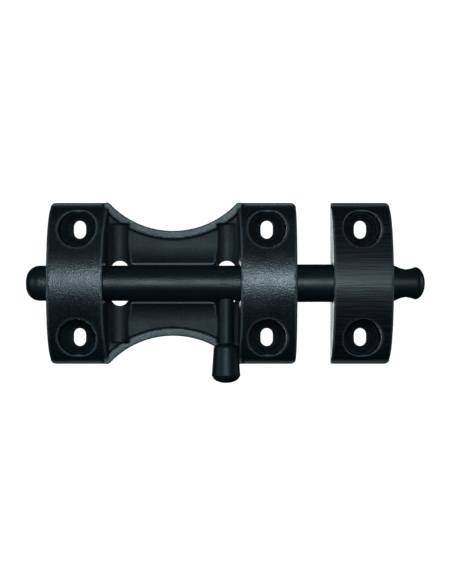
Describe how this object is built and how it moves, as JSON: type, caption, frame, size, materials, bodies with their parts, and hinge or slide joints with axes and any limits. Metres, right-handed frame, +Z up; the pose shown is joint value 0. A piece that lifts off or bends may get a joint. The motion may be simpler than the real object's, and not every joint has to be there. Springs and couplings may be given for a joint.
{
  "type": "toggle bolt latch",
  "caption": "Gate latch: a round bolt slides and turns in arched blocks, its swinging handle rests in either trough, and its nose passes through a keeper to a padlock hole.",
  "frame": {"origin": "on the mounting plane, at the middle of the latch body's back and level with the bolt's axis", "axes": "+X along the bolt towards its nose, +Y into the wall, +Z up the gate"},
  "size_m": [0.1682, 0.0274, 0.0766],
  "materials": {
    "body_black": "sand-textured black powder coat",
    "keeper_black": "sand-textured black powder coat",
    "rod_black": "satin black powder coat",
    "nose_black": "satin black powder coat",
    "pin_steel": "plain steel",
    "stud_black": "satin black powder coat",
    "knob_black": "satin black powder coat",
    "ring_left_rubber": "moulded",
    "ring_right_rubber": "moulded"
  },
  "bodies": {
    "root": {"latch_body": "body_black", "keeper": "keeper_black"},
    "friction_rings": {"ring_left": "ring_left_rubber", "ring_right": "ring_right_rubber"},
    "bolt": {"bolt_rod": "rod_black", "bolt_nose": "nose_black", "nose_pin": "pin_steel", "handle_stud": "stud_black", "knob": "knob_black"}
  },
  "joints": [
    {"name": "bolt_turn", "type": "hinge", "parent": "root", "child": "friction_rings", "pos_m": [0, -0.015, 0], "axis": [-1, 0, 0], "range_deg": [0, 180]},
    {"name": "bolt_slide", "type": "slide", "parent": "friction_rings", "child": "bolt", "axis": [-1, 0, 0], "range_m": [0, 0.0452]}
  ]
}
